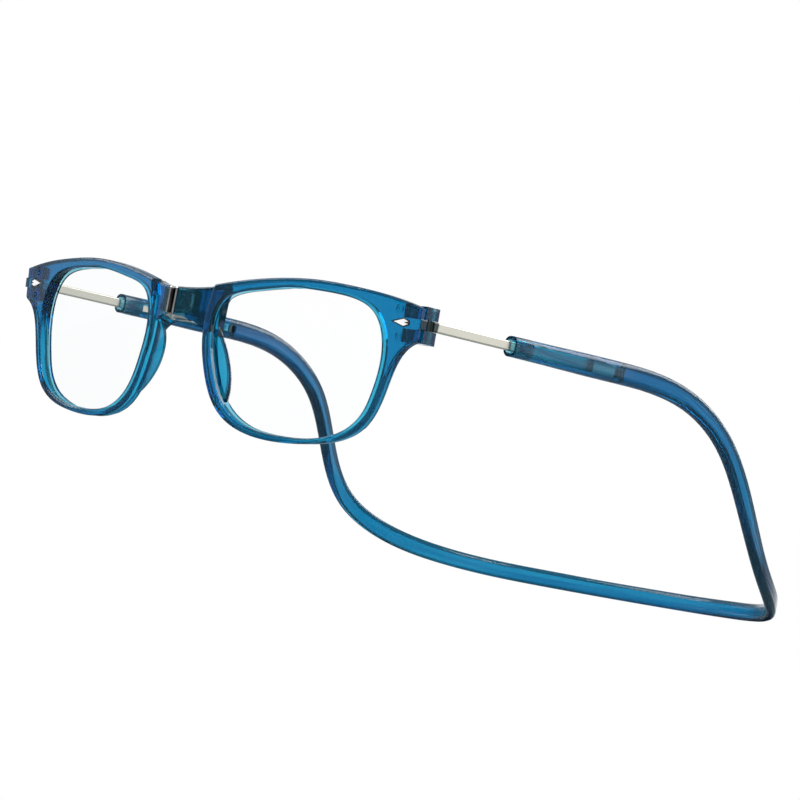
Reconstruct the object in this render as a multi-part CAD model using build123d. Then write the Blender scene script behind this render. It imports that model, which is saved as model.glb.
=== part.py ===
from build123d import *
import math
import os

# Magnetic bridge reading glasses, in millimetres, seen by the wearer's mirror plane.
# Everything is first drawn in a level frame: X to the wearer's left, Y from the front to the back
# of the head, Z up, with the two front planes starting beside the mirror plane at the height of the origin.
# The left half is drawn and the right half is its mirror image, except that the seam of the bridge
# lies off the mirror plane, so the two bridge halves have different lengths.
# At the end the whole object is leaned until the rims and the back of the band rest on one flat table.

# Shared values

OVERRUN = 1.0
HALF_SHARE = 0.5
BOTH_SIDES = 2

# Front halves

FRONT_ORIGIN_X = 0.3
WRAP_ANGLE = 9.92
PANTO_ANGLE = 4.93
RIM_DEPTH = 3.2
FRONT_OUTER_ROUND = 0.7
BACK_OUTER_ROUND = 1.1
OPENING_ROUND = 0.4
END_CORNER_ROUND = 1.2

TOP_EDGE = [(9.9, 3.9), (17.3, 5.6), (28.5, 7.3), (37.4, 7.8), (46.6, 7.4), (55.5, 6.5), (65.3, 4.5)]
LOWER_EDGE = [
    (65.0, -2.8), (61.0, -5.8), (58.3, -12.6), (56.7, -17.8), (53.9, -22.5), (48.9, -25.8),
    (42.0, -27.6), (34.8, -28.4), (28.1, -28.4), (22.3, -27.5), (17.0, -25.3), (13.3, -21.9), (11.0, -17.9),
    (9.4, -13.5), (8.4, -9.0), (8.3, -4.5), (8.9, 0.0), (9.9, 3.9),
]
OPENING_EDGE = [
    (34.8, 5.5), (46.1, 4.9), (53.4, 2.0), (56.3, -4.5), (55.5, -14.0), (52.7, -20.8), (45.4, -25.5),
    (33.0, -27.0), (22.2, -25.6), (15.5, -20.8), (11.9, -13.2), (10.4, -5.5), (12.0, 0.2), (20.0, 3.6),
]

# Lens and its groove

LENS_RADIUS = 260.0
LENS_THICKNESS = 1.2
LENS_APEX_DEPTH = 0.5
LENS_CENTRE = (33.5, -10.8)
OPENING_POINTS_PER_EDGE = 2
LENS_GRIP = 0.6
LENS_CLEARANCE = 0.04

# Nose pad

PAD_ROOT_LINE = [(9.4, -5.2), (10.7, -13.0), (15.2, -22.4)]
PAD_ROOT_WIDTH = 2.4
PAD_EDGE_LINE = [(10.2, -5.6), (12.3, -13.4), (16.4, -21.6)]
PAD_EDGE_WIDTH = 1.8
PAD_SINK = 1.0
PAD_REACH = 3.1
PAD_BELLY_V = -13.2
PAD_BELLY_RADIUS = 13.0
PAD_BELLY_SPAN = 60.0
PAD_ROUND = 0.5

# Bridge and its seam

SEAM_X = -3.7
MAGNET_GAP = 0.3
MAGNET_PROUD = 0.6
BRIDGE_FRONT_Y = 2.4
BRIDGE_RIM_Y = 2.7
BRIDGE_BACK_Y = 7.2
BRIDGE_TOP_Z = 2.8
BRIDGE_BOTTOM_Z = -3.6
BRIDGE_BACK_DROP = 0.9
BRIDGE_RIM = [(11.7, 4.1), (9.8, 0.6), (9.6, -7.2)]
BRIDGE_TOP_SAG = 0.35
BRIDGE_ARCH_SHARE = 0.55
BRIDGE_ARCH_DEPTH_SHARE = 0.28
BRIDGE_ROUND = 0.5
SEAM_CUT_SPAN = 60.0

# Magnets and their nickel frames

HOLDER_THICKNESS = 0.5
HOLDER_WALL = 0.4
HOLDER_CORNER = 0.5
MAGNET_DOME_RADIUS = 5.7
MAGNET_LENGTH_LEFT = 6.8
MAGNET_LENGTH_RIGHT = 2.9
KEEPER_RADIUS = 1.6
KEEPER_DROP = 1.1
KEEPER_LENGTH_LEFT = 3.8
KEEPER_LENGTH_RIGHT = 2.2
KEEPER_WINDOW_MARGIN = 0.3

# Hinge

HINGE_X = 63.2
HINGE_Y = 15.7
HINGE_Z = 1.27
BAR_RISE = 0.023
LUG_EDGE = [(1.3, -2.6), (1.3, 1.75), (-1.8, 1.75), (-4.2, -0.8), (-4.6, -3.6), (-2.9, -3.6), (-2.6, -2.6)]
LUG_UPPER_HEIGHT = 2.75
LUG_LOWER_HEIGHT = 2.9
LUG_ROUND = 0.7
LUG_SIDE_CLEARANCE = 0.1
SCREW_RADIUS = 0.7
SCREW_HEAD_RADIUS = 1.25
SCREW_HEAD_HEIGHT = 0.7
SCREW_SLOT_WIDTH = 0.35
SCREW_SLOT_DEPTH = 0.3
SCREW_CLEARANCE = 0.05

# End piece

RIB_PROUD = 0.5
RIB_WIDTH = 2.0
RIB_HEIGHT = 2.2
RIB_CENTRE_V = 1.0
RIB_DEPTH_MARGIN = 0.6
RIB_ROUND = 0.25
MARK_CENTRES = [(59.9, 3.9), (60.5, -2.1)]
MARK_RADIUS = 1.0
MARK_RING_WIDTH = 0.25
MARK_DIMPLE_RADIUS = 0.4
MARK_DEPTH = 0.25

# Arrow plaque on its dark base

PLAQUE_CENTRE_V = 1.0
PLAQUE_TIP_U = 57.9
PLAQUE_WIDE_U = 61.3
PLAQUE_END_U = 62.7
PLAQUE_HEIGHT = 2.1
PLAQUE_END_SHARE = 0.45
PLAQUE_POCKET = 0.5
PLAQUE_BORDER = 0.28
PLAQUE_PROUD = 0.2
PLAQUE_INLAY_SINK = 0.15
PLAQUE_NOTCH_LENGTH = 1.3
PLAQUE_NOTCH_HEIGHT = 0.7

# Temple bar, with lengths measured back from the hinge screw

BAR_OFFSET = 1.0
BAR_THICKNESS = 1.3
BAR_HEIGHT = 2.2
BAR_LENGTH = 52.6
BAR_ROUND = 0.4
EYE_RADIUS = 1.3
STOP_FROM_HINGE = 51.4
STOP_RADIUS = 0.55
STOP_HEAD_RADIUS = 0.75
STOP_HEAD_HEIGHT = 0.8

# Sleeve in each end of the band, with lengths measured back from the hinge screw

MOUTH_FROM_HINGE = 25.6
MOUTH_DEPTH = 1.5
BUSH_LENGTH = 4.4
BUSH_WIDTH = 2.5
BUSH_HEIGHT = 3.1
BUSH_CORNER = 0.7
BAR_CLEARANCE = 0.06
CHANNEL_CLEARANCE = 0.15
CHANNEL_FROM_HINGE = 63.3
SLOT_HEIGHT = 1.7
SLOT_PIN_RADIUS = 0.6
SLOT_PIN_LENGTH = 3.2

# Headband: distance behind the hinge, height and thickness of the straight sleeve

SLEEVE_SECTIONS = [
    (MOUTH_FROM_HINGE, 4.6, 3.8), (34.0, 4.7, 3.9), (44.0, 4.9, 4.0), (54.0, 5.1, 4.0), (64.0, 5.1, 3.9),
]

# Headband: centre point, height and thickness from behind the sleeve to the middle of the back

BAND_SECTIONS = [
    ((65.15, 90.0, 2.55), 5.0, 3.6),
    ((66.75, 103.7, -0.05), 4.7, 3.3),
    ((68.0, 117.0, -7.8), 4.5, 3.0),
    ((69.4, 126.3, -20.2), 4.4, 2.7),
    ((69.05, 135.6, -32.0), 4.4, 2.6),
    ((64.25, 148.3, -38.9), 4.6, 2.7),
    ((55.75, 160.8, -41.85), 4.5, 2.6),
    ((44.2, 170.9, -42.9), 4.4, 2.6),
    ((30.2, 177.75, -43.1), 4.4, 2.6),
    ((15.5, 181.4, -43.2), 4.3, 2.6),
    ((0.0, 182.55, -43.2), 4.3, 2.6),
]
BAND_CORNER_SHARE = 0.42

# Stance

CONTACT_TOLERANCE = 0.02
LEAN_LIMIT = 20.0
LEAN_STEPS = 30


def front_plane():
    wrap = math.radians(WRAP_ANGLE)
    panto = math.radians(PANTO_ANGLE)
    outward = Vector(math.cos(wrap), math.sin(wrap), 0)
    upward = Vector(0, -math.sin(panto), math.cos(panto))
    return Plane(origin=(FRONT_ORIGIN_X, 0, 0), x_dir=outward, z_dir=outward.cross(upward))


def prism(outline, low, high):
    # A face of the XY plane made into a block between two heights.
    return extrude(Pos(0, 0, low) * outline, high - low, dir=(0, 0, 1))


def front_outline():
    outline = Spline(TOP_EDGE) + Line(TOP_EDGE[-1], LOWER_EDGE[0]) + Spline(LOWER_EDGE)
    return make_face(outline)


def opening_outline(growth=0):
    # The opening of the rim, or the same outline moved outwards by a distance.
    edge = Spline(OPENING_EDGE, periodic=True)
    count = len(OPENING_EDGE) * OPENING_POINTS_PER_EDGE
    points = []
    for step in range(count):
        share = step / count
        along = edge.tangent_at(share)
        points.append(edge.position_at(share) + Vector(-along.Y, along.X, 0) * growth)
    return make_face(Spline(points, periodic=True))


def lens_shell(extra):
    # The space between two spheres about one centre, as deep as the lens plus a clearance on each side.
    # The spheres are turned so that neither a pole nor the seam lies on the lens.
    centre = (LENS_CENTRE[0], LENS_CENTRE[1], -LENS_APEX_DEPTH - LENS_RADIUS)
    outer = Sphere(LENS_RADIUS + extra)
    inner = Sphere(LENS_RADIUS - LENS_THICKNESS - extra)
    slab = prism(opening_outline(LENS_GRIP + extra), -RIM_DEPTH, 0)
    return slab & (Pos(*centre) * Rot(X=90) * (outer - inner))


def rim():
    body = prism(front_outline(), -RIM_DEPTH, 0)
    end_corner = body.edges().filter_by(Axis.Z).sort_by_distance((*LOWER_EDGE[0], 0))[0]
    body = fillet(end_corner, END_CORNER_ROUND)
    front_edges = body.faces().sort_by(Axis.Z)[-1].edges()
    body = fillet(front_edges, FRONT_OUTER_ROUND)
    back_edges = body.faces().sort_by(Axis.Z)[0].edges()
    body = fillet(back_edges, BACK_OUTER_ROUND)
    body -= prism(opening_outline(), -RIM_DEPTH - OVERRUN, OVERRUN)
    return fillet(body.faces().sort_by(Axis.Z)[-1].inner_wires().edges(), OPENING_ROUND)


def nose_pad():
    # A curved blade that leans outwards as it reaches back from the rim.
    root = SlotArc(ThreePointArc(*PAD_ROOT_LINE), PAD_ROOT_WIDTH)
    edge = SlotArc(ThreePointArc(*PAD_EDGE_LINE), PAD_EDGE_WIDTH)
    back = -RIM_DEPTH - PAD_REACH
    blade = loft([Pos(0, 0, PAD_SINK - RIM_DEPTH) * root, Pos(0, 0, back) * edge], ruled=True)
    belly = Pos(0, PAD_BELLY_V, back + PAD_BELLY_RADIUS) * Rot(Y=90)
    pad = blade & belly * Cylinder(PAD_BELLY_RADIUS, PAD_BELLY_SPAN)
    behind = [face for face in pad.faces() if face.center().Z < -RIM_DEPTH]
    rear = max((face for face in behind if face.geom_type == GeomType.CYLINDER), key=lambda face: face.area)
    return fillet(rear.edges(), PAD_ROUND)


def bridge_profile(seam, drop):
    # The outline of a bridge half seen from the front, from its seam face to inside the rim.
    top_seam = (seam, BRIDGE_TOP_Z)
    top_rim, waist, low_rim = BRIDGE_RIM
    low_rim = (low_rim[0], low_rim[1] - drop)
    low_seam = (seam, BRIDGE_BOTTOM_Z - drop)
    top_middle = ((seam + top_rim[0]) * HALF_SHARE, (BRIDGE_TOP_Z + top_rim[1]) * HALF_SHARE - BRIDGE_TOP_SAG)
    arch = (
        seam + (low_rim[0] - seam) * BRIDGE_ARCH_SHARE,
        low_seam[1] + (low_rim[1] - low_seam[1]) * BRIDGE_ARCH_DEPTH_SHARE,
    )
    outline = ThreePointArc(top_seam, top_middle, top_rim) + Polyline(top_rim, waist, low_rim)
    outline += ThreePointArc(low_rim, arch, low_seam) + Line(low_seam, top_seam)
    return make_face(outline)


def bridge_half(seam):
    # Drawn for the left half: the front face turns from the seam towards the rim.
    turn = math.atan2(BRIDGE_RIM_Y - BRIDGE_FRONT_Y, BRIDGE_RIM[1][0] - seam)
    front_origin = (0, BRIDGE_FRONT_Y - seam * math.tan(turn), 0)
    along = Vector(math.cos(turn), math.sin(turn), 0)
    front = Plane(origin=front_origin, x_dir=along, z_dir=along.cross(Vector(0, 0, 1)))
    back = Plane(origin=(0, BRIDGE_BACK_Y, 0), x_dir=(1, 0, 0), z_dir=(0, -1, 0))
    block = loft([front * bridge_profile(seam, 0), back * bridge_profile(seam, BRIDGE_BACK_DROP)], ruled=True)
    end = seam + HOLDER_THICKNESS
    block -= Pos(end - SEAM_CUT_SPAN * HALF_SHARE, 0, 0) * Box(SEAM_CUT_SPAN, SEAM_CUT_SPAN, SEAM_CUT_SPAN)
    return fillet([edge for edge in block.edges() if is_bridge_ridge(edge.center(), end)], BRIDGE_ROUND)


def is_bridge_ridge(point, end):
    # True for the front and back edges of the top face, away from the magnet end and the rim.
    on_top = point.Z > 0
    on_edge = point.Y < BRIDGE_RIM_Y or point.Y > BRIDGE_BACK_Y - BRIDGE_ROUND
    return on_top and on_edge and end + BRIDGE_ROUND < point.X < BRIDGE_RIM[1][0] - BRIDGE_ROUND


def magnet_section(wall):
    # The cross-section of the bridge at the seam, shrunk by a wall on every side.
    depth = BRIDGE_BACK_Y - BRIDGE_FRONT_Y - wall * BOTH_SIDES
    height = BRIDGE_TOP_Z - BRIDGE_BOTTOM_Z - wall * BOTH_SIDES
    return Rot(Y=90) * Rot(Z=90) * RectangleRounded(depth, height, HOLDER_CORNER)


def seam_place(seam):
    middle_y = (BRIDGE_FRONT_Y + BRIDGE_BACK_Y) * HALF_SHARE
    middle_z = (BRIDGE_TOP_Z + BRIDGE_BOTTOM_Z) * HALF_SHARE
    return Pos(seam, middle_y, middle_z)


def magnet(seam, length):
    bar = extrude(magnet_section(HOLDER_WALL), length, dir=(1, 0, 0))
    across = MAGNET_DOME_RADIUS * BOTH_SIDES
    dome = Pos(MAGNET_DOME_RADIUS, 0, 0) * Cylinder(MAGNET_DOME_RADIUS, across)
    tail_length = length + MAGNET_DOME_RADIUS
    tail = Pos((MAGNET_DOME_RADIUS + tail_length) * HALF_SHARE, 0, 0) * Box(tail_length, across, across)
    return seam_place(seam - MAGNET_PROUD) * (bar & (dome + tail))


def keeper(seam, length):
    y = (BRIDGE_FRONT_Y + BRIDGE_BACK_Y) * HALF_SHARE
    z = BRIDGE_BOTTOM_Z + KEEPER_RADIUS - KEEPER_DROP
    tube = Pos(seam + length * HALF_SHARE, y, z) * Rot(Y=90) * Cylinder(KEEPER_RADIUS, length)
    return fillet(tube.edges(), HOLDER_CORNER * HALF_SHARE)


def magnet_holder(seam, keeper_length):
    frame = extrude(magnet_section(0) - magnet_section(HOLDER_WALL), HOLDER_THICKNESS, dir=(1, 0, 0))
    return seam_place(seam) * frame + keeper(seam, keeper_length)


def hinge_place():
    return Pos(HINGE_X, HINGE_Y, HINGE_Z) * Rot(X=math.degrees(math.atan(BAR_RISE)))


def lug_gap():
    return BAR_HEIGHT * HALF_SHARE + LUG_SIDE_CLEARANCE


def lugs():
    outline = make_face(Polyline(LUG_EDGE, close=True))
    upper = prism(outline, lug_gap(), lug_gap() + LUG_UPPER_HEIGHT)
    lower = prism(outline, -lug_gap() - LUG_LOWER_HEIGHT, -lug_gap())
    pair = []
    for lug in (upper, lower):
        corners = lug.edges().filter_by(Axis.Z).sort_by(Axis.Y)[-2:]
        pair.append(fillet(corners, LUG_ROUND))
    return pair


def hinge_screw():
    top = lug_gap() + LUG_UPPER_HEIGHT
    bottom = -lug_gap() - LUG_LOWER_HEIGHT
    shank = Pos(0, 0, (top + bottom) * HALF_SHARE) * Cylinder(SCREW_RADIUS, top - bottom)
    head = Pos(0, 0, top - SCREW_HEAD_HEIGHT * HALF_SHARE) * Cylinder(SCREW_HEAD_RADIUS, SCREW_HEAD_HEIGHT)
    slot = Box(SCREW_HEAD_RADIUS * BOTH_SIDES, SCREW_SLOT_WIDTH, SCREW_SLOT_DEPTH * BOTH_SIDES)
    slot = Pos(0, 0, top) * slot
    return shank + head, slot


def end_rib():
    middle = (LOWER_EDGE[0][0] + TOP_EDGE[-1][0]) * HALF_SHARE
    # Flush with the front face, so that the plaque runs out on to it.
    depth = RIM_DEPTH - RIB_DEPTH_MARGIN
    rib = Pos(middle + RIB_PROUD - RIB_WIDTH * HALF_SHARE, RIB_CENTRE_V, -depth * HALF_SHARE)
    rib *= Box(RIB_WIDTH, RIB_HEIGHT, depth)
    return fillet(rib.edges().filter_by_position(Axis.X, middle + RIB_PROUD, middle + RIB_PROUD), RIB_ROUND)


def end_mark():
    # A round mark: a ring groove about a small dimple.
    depth = MARK_DEPTH * BOTH_SIDES
    ring = Cylinder(MARK_RADIUS, depth) - Cylinder(MARK_RADIUS - MARK_RING_WIDTH, depth)
    return ring + Cylinder(MARK_DIMPLE_RADIUS, depth)


def plaque_outline():
    half = PLAQUE_HEIGHT * HALF_SHARE
    end = half * PLAQUE_END_SHARE
    upper = [(PLAQUE_WIDE_U, half), (PLAQUE_END_U, end)]
    lower = [(PLAQUE_END_U, -end), (PLAQUE_WIDE_U, -half)]
    points = [(PLAQUE_TIP_U, 0)] + upper + lower
    return Pos(0, PLAQUE_CENTRE_V) * make_face(Polyline(points, close=True))


def plaque_base():
    return prism(plaque_outline(), -PLAQUE_POCKET, -PLAQUE_INLAY_SINK)


def arrow_plaque():
    arrow = offset(plaque_outline(), -PLAQUE_BORDER)
    half = PLAQUE_NOTCH_HEIGHT * HALF_SHARE
    end = PLAQUE_END_U
    notch = Polyline((end - PLAQUE_NOTCH_LENGTH, 0), (end, half), (end, -half), close=True)
    arrow -= Pos(0, PLAQUE_CENTRE_V) * make_face(notch)
    return prism(arrow, -PLAQUE_INLAY_SINK, PLAQUE_PROUD)


def front_half(seam, magnet_length, keeper_length):
    body = front_plane() * (rim() + nose_pad() + end_rib())
    body += bridge_half(seam)
    for lug in lugs():
        body += hinge_place() * lug
    screw, slot = hinge_screw()
    body -= hinge_place() * screw
    body -= front_plane() * lens_shell(LENS_CLEARANCE)
    body -= front_plane() * prism(plaque_outline(), -PLAQUE_POCKET, OVERRUN)
    for u, v in MARK_CENTRES:
        body -= front_plane() * Pos(u, v, 0) * end_mark()
    body -= magnet(seam, magnet_length)
    body -= keeper(seam, keeper_length) + keeper_window(seam, keeper_length)
    return body


def keeper_window(seam, length):
    # The opening in the underside of the bridge that shows the lower half of the keeper.
    y = (BRIDGE_FRONT_Y + BRIDGE_BACK_Y) * HALF_SHARE
    z = BRIDGE_BOTTOM_Z + KEEPER_RADIUS - KEEPER_DROP
    width = length + KEEPER_WINDOW_MARGIN
    depth = (KEEPER_RADIUS + KEEPER_WINDOW_MARGIN) * BOTH_SIDES
    height = BRIDGE_BACK_Y * BOTH_SIDES
    return Pos(seam + width * HALF_SHARE, y, z - height * HALF_SHARE) * Box(width, depth, height)


def rounded_bar(width, length, height, corner):
    bar = Box(width, length, height)
    return fillet(bar.edges().filter_by(Axis.Y), corner)


def temple_bar():
    blade = rounded_bar(BAR_THICKNESS, BAR_LENGTH, BAR_HEIGHT, BAR_ROUND)
    bar = Pos(BAR_OFFSET, BAR_LENGTH * HALF_SHARE, 0) * blade + Cylinder(EYE_RADIUS, BAR_HEIGHT)
    bar -= Cylinder(SCREW_RADIUS + SCREW_CLEARANCE, BAR_HEIGHT + OVERRUN)
    return bar - bar_stop()


def bar_stop():
    inner_face = BAR_OFFSET - BAR_THICKNESS * HALF_SHARE
    shank = Pos(BAR_OFFSET, STOP_FROM_HINGE, 0) * Rot(Y=90) * Cylinder(STOP_RADIUS, BAR_THICKNESS)
    head = Pos(inner_face - STOP_HEAD_HEIGHT * HALF_SHARE, STOP_FROM_HINGE, 0) * Rot(Y=90)
    return shank + head * Cylinder(STOP_HEAD_RADIUS, STOP_HEAD_HEIGHT)


def guide_bush():
    middle = MOUTH_FROM_HINGE + MOUTH_DEPTH + BUSH_LENGTH * HALF_SHARE
    bush = rounded_bar(BUSH_WIDTH, BUSH_LENGTH, BUSH_HEIGHT, BUSH_CORNER)
    play = BAR_CLEARANCE * BOTH_SIDES
    corner = BAR_ROUND + BAR_CLEARANCE
    bore = rounded_bar(BAR_THICKNESS + play, BUSH_LENGTH + OVERRUN, BAR_HEIGHT + play, corner)
    return Pos(BAR_OFFSET, middle, 0) * (bush - bore)


def slot_pin():
    return Pos(BAR_OFFSET, CHANNEL_FROM_HINGE, 0) * Cylinder(SLOT_PIN_RADIUS, SLOT_PIN_LENGTH)


def sleeve_hollow():
    bush_end = MOUTH_FROM_HINGE + MOUTH_DEPTH + BUSH_LENGTH
    pocket_length = bush_end - MOUTH_FROM_HINGE + OVERRUN
    pocket = Pos(BAR_OFFSET, bush_end - pocket_length * HALF_SHARE, 0)
    pocket *= rounded_bar(BUSH_WIDTH, pocket_length, BUSH_HEIGHT, BUSH_CORNER)
    channel_length = CHANNEL_FROM_HINGE - MOUTH_FROM_HINGE
    channel = Pos(BAR_OFFSET, CHANNEL_FROM_HINGE - channel_length * HALF_SHARE, 0)
    play = CHANNEL_CLEARANCE * BOTH_SIDES
    channel *= Box(BAR_THICKNESS + play, channel_length, BAR_HEIGHT + play)
    slot_length = CHANNEL_FROM_HINGE - bush_end
    slot_width = SLEEVE_SECTIONS[-1][2]
    slot = Pos(BAR_OFFSET - slot_width * HALF_SHARE, CHANNEL_FROM_HINGE - slot_length * HALF_SHARE, 0)
    slot *= Box(slot_width, slot_length, SLOT_HEIGHT)
    return pocket + channel + slot + slot_pin()


def band_stations():
    stations = []
    for distance, height, thickness in SLEEVE_SECTIONS:
        place = hinge_place() * Pos(BAR_OFFSET, distance, 0)
        stations.append((place.position, height, thickness))
    for point, height, thickness in BAND_SECTIONS:
        stations.append((Vector(*point), height, thickness))
    for point, height, thickness in stations[-2::-1]:
        stations.append((Vector(-point.X, point.Y, point.Z), height, thickness))
    return stations


def headband():
    stations = band_stations()
    path = Spline([point for point, height, thickness in stations])
    sections = []
    for point, height, thickness in stations:
        along = path.tangent_at(path.param_at_point(point))
        across = Vector(along.Y, -along.X, 0).normalized()
        plane = Plane(origin=point, x_dir=across, z_dir=along)
        sections.append(plane * RectangleRounded(thickness, height, thickness * BAND_CORNER_SHARE))
    band = loft(sections)
    hollow = hinge_place() * sleeve_hollow()
    return band - hollow - mirror(hollow, about=Plane.YZ)


def lean_angle(front, band):
    # The tilt about X that brings the lowest point of the rim and that of the band to one height.
    front_points = front.tessellate(CONTACT_TOLERANCE)[0]
    band_points = band.tessellate(CONTACT_TOLERANCE)[0]
    low, high = 0.0, LEAN_LIMIT
    for step in range(LEAN_STEPS):
        angle = (low + high) * HALF_SHARE
        sine = math.sin(math.radians(angle))
        cosine = math.cos(math.radians(angle))
        front_low = min(p.Z * cosine + p.Y * sine for p in front_points)
        band_low = min(p.Z * cosine + p.Y * sine for p in band_points)
        if band_low < front_low:
            low = angle
        else:
            high = angle
    return angle


def build_nodes():
    nodes = {"headband": headband()}
    plane = front_plane()
    hinge = hinge_place()
    sides = {
        "left": (SEAM_X, MAGNET_LENGTH_LEFT, KEEPER_LENGTH_LEFT),
        "right": (-SEAM_X, MAGNET_LENGTH_RIGHT, KEEPER_LENGTH_RIGHT),
    }
    screw, slot = hinge_screw()
    for side, (seam_x, magnet_length, keeper_length) in sides.items():
        seam = seam_x + MAGNET_GAP * HALF_SHARE + MAGNET_PROUD
        pieces = {
            "front": front_half(seam, magnet_length, keeper_length),
            "lens": plane * lens_shell(0),
            "plaque_base": plane * plaque_base(),
            "arrow_plaque": plane * arrow_plaque(),
            "bridge_magnet": magnet(seam, magnet_length) - keeper(seam, keeper_length),
            "magnet_holder": magnet_holder(seam, keeper_length),
            "hinge_screw": hinge * (screw - slot),
            "temple_bar": hinge * temple_bar(),
            "bar_stop": hinge * bar_stop(),
            "guide_bush": hinge * guide_bush(),
            "slot_pin": hinge * slot_pin(),
        }
        for name, piece in pieces.items():
            nodes[name + "_" + side] = piece if side == "left" else mirror(piece, about=Plane.YZ)
    return nodes


def stand(nodes):
    # Leans the object onto its table and puts the origin under the middle of it.
    angle = lean_angle(nodes["front_left"], nodes["headband"])
    leaned = {name: Rot(X=angle) * shape for name, shape in nodes.items()}
    points = []
    for shape in leaned.values():
        points += shape.tessellate(CONTACT_TOLERANCE)[0]
    middle_x = (min(p.X for p in points) + max(p.X for p in points)) * HALF_SHARE
    middle_y = (min(p.Y for p in points) + max(p.Y for p in points)) * HALF_SHARE
    lowest = min(p.Z for p in points)
    print("lean", angle, "moved by", -middle_x, -middle_y, -lowest)
    return {name: Pos(-middle_x, -middle_y, -lowest) * shape for name, shape in leaned.items()}


os.makedirs("parts", exist_ok=True)
for name, shape in stand(build_nodes()).items():
    print(name, round(shape.volume, 2), len(shape.solids()))
    export_step(shape, "parts/" + name + ".step")
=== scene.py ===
import bpy
import math
from mathutils import Matrix, Vector

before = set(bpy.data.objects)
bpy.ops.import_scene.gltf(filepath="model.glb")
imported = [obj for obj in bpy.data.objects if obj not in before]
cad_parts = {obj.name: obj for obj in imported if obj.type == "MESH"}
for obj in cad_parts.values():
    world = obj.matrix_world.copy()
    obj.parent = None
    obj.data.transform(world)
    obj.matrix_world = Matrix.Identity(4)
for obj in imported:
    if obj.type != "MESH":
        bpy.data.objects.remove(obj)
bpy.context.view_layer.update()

# Camera, given in the level frame of the part, which the table stance leans about X

LEAN = math.radians(5.9367)
LEVEL_ORIGIN = Vector((0.0003, -0.09430, 0.02734))
CAMERA_AZIMUTH = math.radians(43.76)
CAMERA_ELEVATION = math.radians(-3.59)
CAMERA_ROLL = math.radians(10.73)
CAMERA_DISTANCE = 0.7938
CAMERA_RIGHT = 0.04977
CAMERA_UP = -0.02294
LENS_OVER_SENSOR = 4.4596
SENSOR_WIDTH = 36.0
NEAREST_SEEN = 0.01

# Lamps: name, place, size and power

LAMPS = [
    ("key_lamp", (0.5, -0.7, 1.0), 0.9, 9.0),
    ("fill_lamp", (-0.8, -0.5, 0.7), 0.9, 4.5),
    ("back_lamp", (0.2, 0.9, 0.8), 0.8, 5.0),
]

# Studio. What is seen through the clear pieces is a ring of upright white panels with dark gaps.
# What is mirrored goes by the turn about Z and by height: soft boxes, dark walls and a grey top.
# A ramp's stops are places from nought to one, each with its grey.

PANEL_COUNT = 8
PANEL_HALF = 0.5
PANEL_RAMP = [(0.0, 1.0), (0.42, 1.0), (0.68, 0.22), (1.0, 0.12)]
PANEL_HEIGHT_RAMP = [(0.0, 0.10), (0.33, 0.16), (0.43, 1.0), (0.62, 1.0), (0.72, 0.35), (1.0, 0.30)]
MIRROR_TURN_RAMP = [
    (0.0, 0.60), (0.06, 0.65), (0.10, 0.65), (0.113, 0.40), (0.124, 0.08), (0.19, 0.04), (0.24, 0.10),
    (0.28, 0.7), (0.36, 0.8), (0.40, 0.15), (0.52, 0.12), (0.56, 0.35), (0.615, 0.60), (0.632, 0.95),
    (0.67, 0.9), (0.71, 0.35), (0.77, 0.50), (0.83, 1.0), (0.91, 1.0), (0.95, 0.4), (1.0, 0.60),
]
MIRROR_BELT_RAMP = [(0.0, 0.10), (0.30, 0.15), (0.42, 1.0), (0.62, 1.0), (0.72, 0.25), (1.0, 0.0)]
MIRROR_TOP_RAMP = [(0.0, 0.0), (0.66, 0.0), (0.76, 0.32), (0.90, 0.32), (1.0, 0.15)]
WHITE_LEVEL = 1.0
FILL_LEVEL = 0.8
NEW_STOP = 0.5

# Floor

FLOOR_SIZE = 1.0
FLOOR_TINTS = ((0.90, 0.90, 0.91, 1), (0.93, 0.93, 0.94, 1))
FLOOR_MIRRORED = (0.18, 0.20, 0.20, 1)
FLOOR_ROUGHNESS = 0.6

# Patterns: cells to a metre and detail. A tint changes to the next over a span of a pattern's values.

CLOUDS = (55.0, 4.0)
WAVES = (90.0, 2.0)
GRAIN = (260.0, 4.0)
STREAKS = (1.0, 2.0)
LENS_CLOUDS = (22.0, 1.0)
LENS_FILM_CLOUDS = (60.0, 2.0)
LENS_GRAIN = (180.0, 4.0)
METAL_GRAIN = (400.0, 5.0)
BUSH_CLOUDS = (420.0, 4.0)
ENAMEL_CLOUDS = (900.0, 4.0)
ENAMEL_GRAIN = (500.0, 4.0)
FLOOR_CLOUDS = (30.0, 4.0)
UNSTRETCHED = (1, 1, 1)
TINT_SPAN = (0.3, 0.7)

# Clear plastics. A metre takes (1 - colour) times the density from the light, so red goes first.
# Roughness, tints and reliefs run from a pattern's dark places to its light ones. A relief is a
# strength and a depth. The body is a small share of the surface that scatters its own colour back.

PLASTIC_IOR = 1.49
FRAME_PLASTIC = {"colour": (0.02, 0.77, 0.885, 1), "density": 2000.0, "roughness": (0.01, 0.04)}
BAND_PLASTIC = {"colour": (0.02, 0.71, 0.845, 1), "density": 1700.0, "roughness": (0.04, 0.10)}
STOP_PLASTIC = {"colour": (0.03, 0.60, 0.74, 1), "density": 1500.0, "roughness": (0.08, 0.16)}
CLOUD_TINTS = ((0.86, 0.95, 0.98, 1), (0.96, 0.99, 1.0, 1))
WAVE_RELIEF = (0.12, 0.0002)
STREAK_TINTS = ((0.40, 0.66, 0.78, 1), (1.0, 1.0, 1.0, 1))
STREAK_SPAN = (0.40, 0.58)
STREAK_RELIEF = (0.4, 0.0003)
BODY_TINTS = ((0.01, 0.20, 0.36, 1), (0.02, 0.30, 0.48, 1))
BODY_SHARE = 0.07
BUSH_TINTS = ((0.20, 0.62, 0.72, 1), (0.42, 0.80, 0.88, 1))
BUSH_ROUGHNESS = (0.05, 0.2)
BUSH_BODY_SHARE = 0.18

# Band: the height of its centre line and the share that its slope leaves, by the way back

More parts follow.
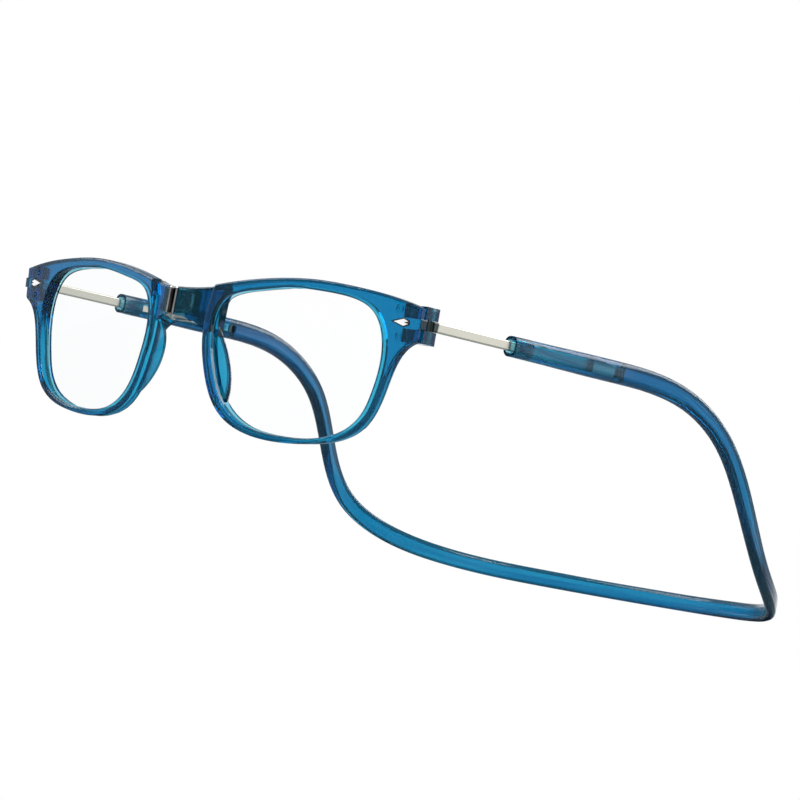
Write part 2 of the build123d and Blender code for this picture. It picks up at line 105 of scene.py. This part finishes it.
BAND_FROM = -0.0400
BAND_TO = 0.0918
BAND_CENTRES = [
    (BAND_FROM, 0.0358), (-0.0050, 0.0392), (0.0089, 0.0380), (0.0229, 0.0317), (0.0334, 0.0203),
    (0.0439, 0.0095), (0.0572, 0.0040), (0.0700, 0.0023), (0.0801, 0.0024), (0.0870, 0.0029),
    (BAND_TO, 0.0033),
]
BAND_CENTRE_UNIT = 0.05
BAND_SLOPES = [
    (BAND_FROM, 1.0), (0.0040, 1.0), (0.0160, 0.91), (0.0280, 0.68), (0.0390, 0.70), (0.0500, 0.92),
    (BAND_TO, 1.0),
]
BAND_SLOPE_UNIT = 1.0
STREAK_STRETCH = (16.0, 16.0, 800.0)

# Lenses

LENS_TINTS = ((0.992, 0.998, 1.0, 1), (1, 1, 1, 1))
LENS_FILM_TINTS = ((0.55, 0.80, 1.0, 1), (0.80, 0.92, 1.0, 1))
LENS_ROUGHNESS = (0.01, 0.04)
LENS_RIM_BLEND = 0.25
LENS_GLOSS = 0.05

# Metals by piece: name, tints and roughness. The magnets are plated in black nickel.

METALS = {
    "hinge_screw": ("screw_steel", ((0.50, 0.50, 0.51, 1), (0.70, 0.70, 0.71, 1)), (0.25, 0.4)),
    "magnet_holder": ("nickel", ((0.70, 0.69, 0.67, 1), (0.88, 0.87, 0.85, 1)), (0.12, 0.25)),
    "bridge_magnet": ("magnet_nickel", ((0.04, 0.04, 0.045, 1), (0.09, 0.09, 0.10, 1)), (0.2, 0.35)),
    "slot_pin": ("pin_steel", ((0.30, 0.30, 0.31, 1), (0.46, 0.46, 0.47, 1)), (0.25, 0.4)),
}
BAR_STEEL = ("brushed_steel", ((0.90, 0.88, 0.77, 1), (1.0, 0.98, 0.87, 1)), (0.22, 0.36))
BAR_BRUSHING = (1, 0.05, 1)
PLAQUE_SILVER = ("plaque_silver", ((0.86, 0.83, 0.82, 1), (0.97, 0.95, 0.94, 1)), (0.2, 0.3))
PLAQUE_METALLIC = 0.25
METAL_RELIEF = (0.15, 0.00005)
ENAMEL_TINTS = ((0.006, 0.007, 0.009, 1), (0.02, 0.022, 0.026, 1))
ENAMEL_ROUGHNESS = (0.15, 0.3)

# Zones of painted shade, as ranges of the object coordinates: the empty end of the sleeve's channel,
# the plastic beside the near magnet, and the hinge end of the temple bar

# Painted shade over the empty end of the sleeve's channel
SLOT_ZONES = (("Y", -0.0290, -0.0168), ("Z", 0.0352, 0.0388))
SLOT_PAINTED_SHADE = (0.28, 0.34, 0.38, 1)
# Painted shade on the plastic beside the near magnet
BRIDGE_ZONES = (("X", 0.0038, 0.0074), ("Z", 0.0240, 0.0340))
BRIDGE_PAINTED_SHADE = (0.20, 0.26, 0.30, 1)
# Painted shade on the hinge end of the temple bar, between the lugs
EYE_ZONES = (("Y", -0.0900, -0.0775),)
EYE_PAINTED_SHADE = (0.10, 0.13, 0.15, 1)
ZONE_EDGE = 0.0002


def place_camera():
    camera = bpy.data.objects.new("camera", bpy.data.cameras.new("camera"))
    bpy.context.scene.collection.objects.link(camera)
    azimuth, elevation = CAMERA_AZIMUTH, CAMERA_ELEVATION
    back = Vector((
        math.cos(elevation) * math.sin(azimuth), -math.cos(elevation) * math.cos(azimuth), math.sin(elevation)
    ))
    level_right = Vector((math.cos(azimuth), math.sin(azimuth), 0))
    level_up = back.cross(level_right)
    right = level_right * math.cos(CAMERA_ROLL) + level_up * math.sin(CAMERA_ROLL)
    up = back.cross(right)
    place = back * CAMERA_DISTANCE + right * CAMERA_RIGHT + up * CAMERA_UP
    axes = Matrix((right, up, back)).transposed().to_4x4()
    lean = Matrix.Rotation(LEAN, 4, "X")
    camera.matrix_world = Matrix.Translation(LEVEL_ORIGIN + (lean @ place)) @ lean @ axes
    camera.data.sensor_width = SENSOR_WIDTH
    camera.data.lens = SENSOR_WIDTH * LENS_OVER_SENSOR
    camera.data.clip_start = NEAREST_SEEN
    bpy.context.scene.camera = camera


def place_lamps():
    for name, place, size, power in LAMPS:
        lamp = bpy.data.objects.new(name, bpy.data.lights.new(name, "AREA"))
        lamp.data.shape = "DISK"
        lamp.data.size = size
        lamp.data.energy = power
        lamp.location = place
        lamp.rotation_euler = (-Vector(place)).to_track_quat("-Z", "Y").to_euler()
        bpy.context.scene.collection.objects.link(lamp)


def node(tree, kind, **settings):
    made = tree.nodes.new(kind)
    for name, value in settings.items():
        setattr(made, name, value)
    return made


def mixed(tree, share, first, second):
    # Two shaders by the share of the second, which is a number or another node's output.
    mix = node(tree, "ShaderNodeMixShader")
    if isinstance(share, float):
        mix.inputs["Fac"].default_value = share
    else:
        tree.links.new(share, mix.inputs["Fac"])
    tree.links.new(first.outputs[0], mix.inputs[1])
    tree.links.new(second.outputs[0], mix.inputs[2])
    return mix


def blend(tree, kind, first, second):
    both = node(tree, "ShaderNodeMix", data_type="RGBA", blend_type=kind)
    both.inputs["Factor"].default_value = 1.0
    tree.links.new(first, both.inputs["A"])
    tree.links.new(second, both.inputs["B"])
    return both.outputs["Result"]


def grey_ramp(tree, value, low, high, stops):
    # Greys by a value that runs from low to high.
    spread = node(tree, "ShaderNodeMapRange")
    spread.inputs["From Min"].default_value = low
    spread.inputs["From Max"].default_value = high
    ramp = node(tree, "ShaderNodeValToRGB")
    while len(ramp.color_ramp.elements) < len(stops):
        ramp.color_ramp.elements.new(NEW_STOP)
    for element, (position, grey) in zip(ramp.color_ramp.elements, stops):
        element.position = position
        element.color = (grey, grey, grey, 1)
    tree.links.new(value, spread.inputs["Value"])
    tree.links.new(spread.outputs[0], ramp.inputs[0])
    return ramp.outputs["Color"]


def background(tree, level):
    # The level is a grey or another node's output.
    made = node(tree, "ShaderNodeBackground")
    if isinstance(level, float):
        made.inputs["Color"].default_value = (level, level, level, 1)
    else:
        tree.links.new(level, made.inputs["Color"])
    return made


def turn_and_height(tree, place):
    parts = node(tree, "ShaderNodeSeparateXYZ")
    turn = node(tree, "ShaderNodeMath", operation="ARCTAN2")
    tree.links.new(place.outputs["Generated"], parts.inputs[0])
    tree.links.new(parts.outputs["Y"], turn.inputs[0])
    tree.links.new(parts.outputs["X"], turn.inputs[1])
    return turn.outputs[0], parts.outputs["Z"]


def mirrored_studio(tree, place):
    turn, height = turn_and_height(tree, place)
    walls = grey_ramp(tree, turn, -math.pi, math.pi, MIRROR_TURN_RAMP)
    belt = blend(tree, "MULTIPLY", walls, grey_ramp(tree, height, -1.0, 1.0, MIRROR_BELT_RAMP))
    return blend(tree, "ADD", belt, grey_ramp(tree, height, -1.0, 1.0, MIRROR_TOP_RAMP))


def panel_studio(tree, place):
    turn, height = turn_and_height(tree, place)
    count = node(tree, "ShaderNodeMath", operation="MULTIPLY")
    count.inputs[1].default_value = PANEL_COUNT / math.tau
    across = node(tree, "ShaderNodeMath", operation="PINGPONG")
    across.inputs[1].default_value = PANEL_HALF
    tree.links.new(turn, count.inputs[0])
    tree.links.new(count.outputs[0], across.inputs[0])
    panels = grey_ramp(tree, across.outputs[0], 0.0, PANEL_HALF, PANEL_RAMP)
    return blend(tree, "MULTIPLY", panels, grey_ramp(tree, height, -1.0, 1.0, PANEL_HEIGHT_RAMP))


def make_world():
    # White for the camera. Clear pieces, mirrored light and plain light each have their own level.
    world = bpy.data.worlds.new("studio")
    bpy.context.scene.world = world
    world.use_nodes = True
    tree = world.node_tree
    tree.nodes.clear()
    output = node(tree, "ShaderNodeOutputWorld")
    rays = node(tree, "ShaderNodeLightPath")
    place = node(tree, "ShaderNodeTexCoord")
    shown = background(tree, FILL_LEVEL)
    for kind, level in (
        ("Is Glossy Ray", mirrored_studio(tree, place)),
        ("Is Transmission Ray", panel_studio(tree, place)),
        ("Is Camera Ray", WHITE_LEVEL),
    ):
        shown = mixed(tree, rays.outputs[kind], shown, background(tree, level))
    tree.links.new(shown.outputs[0], output.inputs["Surface"])


def new_material(name):
    material = bpy.data.materials.new(name)
    material.use_nodes = True
    return material, material.node_tree, material.node_tree.nodes["Principled BSDF"]


def show(tree, shader):
    tree.links.new(shader.outputs[0], tree.nodes["Material Output"].inputs["Surface"])


def object_parts(tree):
    place = node(tree, "ShaderNodeTexCoord")
    parts = node(tree, "ShaderNodeSeparateXYZ")
    tree.links.new(place.outputs["Object"], parts.inputs[0])
    return parts.outputs


def noise_over(tree, place, pattern, stretch):
    mapping = node(tree, "ShaderNodeMapping")
    mapping.inputs["Scale"].default_value = stretch
    texture = node(tree, "ShaderNodeTexNoise")
    texture.inputs["Scale"].default_value, texture.inputs["Detail"].default_value = pattern
    tree.links.new(place, mapping.inputs["Vector"])
    tree.links.new(mapping.outputs[0], texture.inputs["Vector"])
    return texture.outputs["Fac"]


def noise(tree, pattern, stretch=UNSTRETCHED):
    return noise_over(tree, node(tree, "ShaderNodeTexCoord").outputs["Object"], pattern, stretch)


def tint(tree, socket, pattern, tints, span=TINT_SPAN):
    # Colours a socket by a pattern, from the first tint to the second.
    ramp = node(tree, "ShaderNodeValToRGB")
    for element, position, colour in zip(ramp.color_ramp.elements, span, tints):
        element.position = position
        element.color = colour
    tree.links.new(pattern, ramp.inputs["Fac"])
    tree.links.new(ramp.outputs["Color"], socket)
    return ramp.outputs["Color"]


def roughen(tree, shader, pattern, levels):
    tint(tree, shader.inputs["Roughness"], pattern, [(level, level, level, 1) for level in levels])


def emboss(tree, shader, pattern, relief):
    bump = node(tree, "ShaderNodeBump")
    bump.inputs["Strength"].default_value, bump.inputs["Distance"].default_value = relief
    tree.links.new(pattern, bump.inputs["Height"])
    tree.links.new(bump.outputs["Normal"], shader.inputs["Normal"])


def zone_mask(tree, zones):
    # One inside every range of the object coordinates, nought outside, with soft ends.
    parts = object_parts(tree)
    mask = None
    for axis, low, high in zones:
        for start, stop in ((low - ZONE_EDGE, low + ZONE_EDGE), (high + ZONE_EDGE, high - ZONE_EDGE)):
            step = node(tree, "ShaderNodeMapRange")
            step.inputs["From Min"].default_value = start
            step.inputs["From Max"].default_value = stop
            tree.links.new(parts[axis], step.inputs["Value"])
            if mask is None:
                mask = step.outputs[0]
                continue
            product = node(tree, "ShaderNodeMath", operation="MULTIPLY")
            tree.links.new(mask, product.inputs[0])
            tree.links.new(step.outputs[0], product.inputs[1])
            mask = product.outputs[0]
    return mask


def shade(material, zones, colour):
    # Paints shade: multiplies the base colour by a darker colour inside the zones.
    tree = material.node_tree
    base = tree.nodes["Principled BSDF"].inputs["Base Color"]
    both = node(tree, "ShaderNodeMix", data_type="RGBA", blend_type="MULTIPLY")
    both.inputs["B"].default_value = colour
    tree.links.new(zone_mask(tree, zones), both.inputs["Factor"])
    tree.links.new(base.links[0].from_socket, both.inputs["A"])
    tree.links.new(both.outputs["Result"], base)


def along_band(tree, back, values, unit):
    # A value by the way back along the band, as a share of its unit.
    stops = [((place - BAND_FROM) / (BAND_TO - BAND_FROM), value / unit) for place, value in values]
    return grey_ramp(tree, back, BAND_FROM, BAND_TO, stops)


def band_streaks(tree):
    # Fine flow lines that follow the band: noise over the distance from its centre line.
    parts = object_parts(tree)
    centre = along_band(tree, parts["Y"], BAND_CENTRES, BAND_CENTRE_UNIT)
    centre.node.color_ramp.interpolation = "CARDINAL"
    drop = node(tree, "ShaderNodeMath", operation="MULTIPLY_ADD")
    drop.inputs[1].default_value = -BAND_CENTRE_UNIT
    across = node(tree, "ShaderNodeMath", operation="MULTIPLY")
    joined = node(tree, "ShaderNodeCombineXYZ")
    tree.links.new(centre, drop.inputs[0])
    tree.links.new(parts["Z"], drop.inputs[2])
    tree.links.new(drop.outputs[0], across.inputs[0])
    tree.links.new(along_band(tree, parts["Y"], BAND_SLOPES, BAND_SLOPE_UNIT), across.inputs[1])
    tree.links.new(parts["X"], joined.inputs["X"])
    tree.links.new(parts["Y"], joined.inputs["Y"])
    tree.links.new(across.outputs[0], joined.inputs["Z"])
    return noise_over(tree, joined.outputs[0], STREAKS, STREAK_STRETCH)


def clear_plastic(name, look, streaked=False):
    # Moulded see-through plastic: its colour comes from the depth of material that light crosses.
    material, tree, shader = new_material(name)
    shader.inputs["Transmission Weight"].default_value = 1.0
    shader.inputs["IOR"].default_value = PLASTIC_IOR
    if streaked:
        pattern = band_streaks(tree)
        tint(tree, shader.inputs["Base Color"], pattern, STREAK_TINTS, STREAK_SPAN)
        emboss(tree, shader, pattern, STREAK_RELIEF)
    else:
        pattern = noise(tree, CLOUDS)
        tint(tree, shader.inputs["Base Color"], pattern, CLOUD_TINTS)
        emboss(tree, shader, noise(tree, WAVES), WAVE_RELIEF)
    roughen(tree, shader, noise(tree, GRAIN), look["roughness"])
    body = node(tree, "ShaderNodeBsdfDiffuse")
    tint(tree, body.inputs["Color"], pattern, BODY_TINTS)
    show(tree, mixed(tree, BODY_SHARE, shader, body))
    volume = node(tree, "ShaderNodeVolumeAbsorption")
    volume.inputs["Color"].default_value = look["colour"]
    volume.inputs["Density"].default_value = look["density"]
    tree.links.new(volume.outputs["Volume"], tree.nodes["Material Output"].inputs["Volume"])
    return material


def bush_plastic():
    # The bush fills its pocket, so that its walls bend no light.
    material, tree, shader = new_material("bush_plastic")
    colours = tint(tree, shader.inputs["Base Color"], noise(tree, BUSH_CLOUDS), BUSH_TINTS)
    roughen(tree, shader, noise(tree, GRAIN), BUSH_ROUGHNESS)
    clear = node(tree, "ShaderNodeBsdfTransparent")
    tree.links.new(colours, clear.inputs["Color"])
    show(tree, mixed(tree, BUSH_BODY_SHARE, clear, shader))
    return material


def lens_glass():
    # Coated clear lens: nearly all light goes straight through, a thin gloss comes back at the rim.
    material, tree, shader = new_material("lens_glass")
    tree.nodes.remove(shader)
    clear = node(tree, "ShaderNodeBsdfTransparent")
    tint(tree, clear.inputs["Color"], noise(tree, LENS_CLOUDS), LENS_TINTS)
    gloss = node(tree, "ShaderNodeBsdfGlossy")
    tint(tree, gloss.inputs["Color"], noise(tree, LENS_FILM_CLOUDS), LENS_FILM_TINTS)
    roughen(tree, gloss, noise(tree, LENS_GRAIN), LENS_ROUGHNESS)
    facing = node(tree, "ShaderNodeLayerWeight")
    facing.inputs["Blend"].default_value = LENS_RIM_BLEND
    share = node(tree, "ShaderNodeMath", operation="MULTIPLY")
    share.inputs[1].default_value = LENS_GLOSS
    tree.links.new(facing.outputs["Facing"], share.inputs[0])
    show(tree, mixed(tree, share.outputs[0], clear, gloss))
    return material


def metal(name, tints, roughness, metallic=1.0, stretch=UNSTRETCHED):
    material, tree, shader = new_material(name)
    shader.inputs["Metallic"].default_value = metallic
    pattern = noise(tree, METAL_GRAIN, stretch)
    tint(tree, shader.inputs["Base Color"], pattern, tints)
    roughen(tree, shader, pattern, roughness)
    emboss(tree, shader, pattern, METAL_RELIEF)
    return material


def dark_enamel():
    material, tree, shader = new_material("dark_enamel")
    tint(tree, shader.inputs["Base Color"], noise(tree, ENAMEL_CLOUDS), ENAMEL_TINTS)
    roughen(tree, shader, noise(tree, ENAMEL_GRAIN), ENAMEL_ROUGHNESS)
    return material


def make_floor():
    # One-sided, so that the camera, which stands a little below the table top, sees past it.
    # In mirrored light it is dark, so that the plastic keeps its blue.
    bpy.ops.mesh.primitive_plane_add(size=FLOOR_SIZE)
    floor = bpy.context.object
    floor.name = "floor"
    material, tree, shader = new_material("floor")
    tint(tree, shader.inputs["Base Color"], noise(tree, FLOOR_CLOUDS), FLOOR_TINTS)
    shader.inputs["Roughness"].default_value = FLOOR_ROUGHNESS
    rays = node(tree, "ShaderNodeLightPath")
    side = node(tree, "ShaderNodeNewGeometry")
    clear = node(tree, "ShaderNodeBsdfTransparent")
    dark = node(tree, "ShaderNodeBsdfDiffuse")
    dark.inputs["Color"].default_value = FLOOR_MIRRORED
    top = mixed(tree, rays.outputs["Is Glossy Ray"], shader, dark)
    show(tree, mixed(tree, side.outputs["Backfacing"], top, clear))
    floor.data.materials.append(material)


def paint(material, name):
    for side in ("_left", "_right"):
        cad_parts[name + side].material_slots[0].material = material


place_camera()
place_lamps()
make_world()
make_floor()

frame_plastic = clear_plastic("frame_plastic", FRAME_PLASTIC)
# Painted shade on the plastic beside the near magnet
shade(frame_plastic, BRIDGE_ZONES, BRIDGE_PAINTED_SHADE)
band_plastic = clear_plastic("band_plastic", BAND_PLASTIC, streaked=True)
# Painted shade over the empty end of the sleeve's channel
shade(band_plastic, SLOT_ZONES, SLOT_PAINTED_SHADE)
bar_steel = metal(*BAR_STEEL, stretch=BAR_BRUSHING)
# Painted shade on the hinge end of the temple bar
shade(bar_steel, EYE_ZONES, EYE_PAINTED_SHADE)

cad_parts["headband"].material_slots[0].material = band_plastic
paint(frame_plastic, "front")
paint(bar_steel, "temple_bar")
paint(lens_glass(), "lens")
paint(clear_plastic("stop_plastic", STOP_PLASTIC), "bar_stop")
paint(bush_plastic(), "guide_bush")
paint(metal(*PLAQUE_SILVER, metallic=PLAQUE_METALLIC), "arrow_plaque")
paint(dark_enamel(), "plaque_base")
for piece, look in METALS.items():
    paint(metal(*look), piece)

bpy.context.scene.view_settings.view_transform = "Standard"
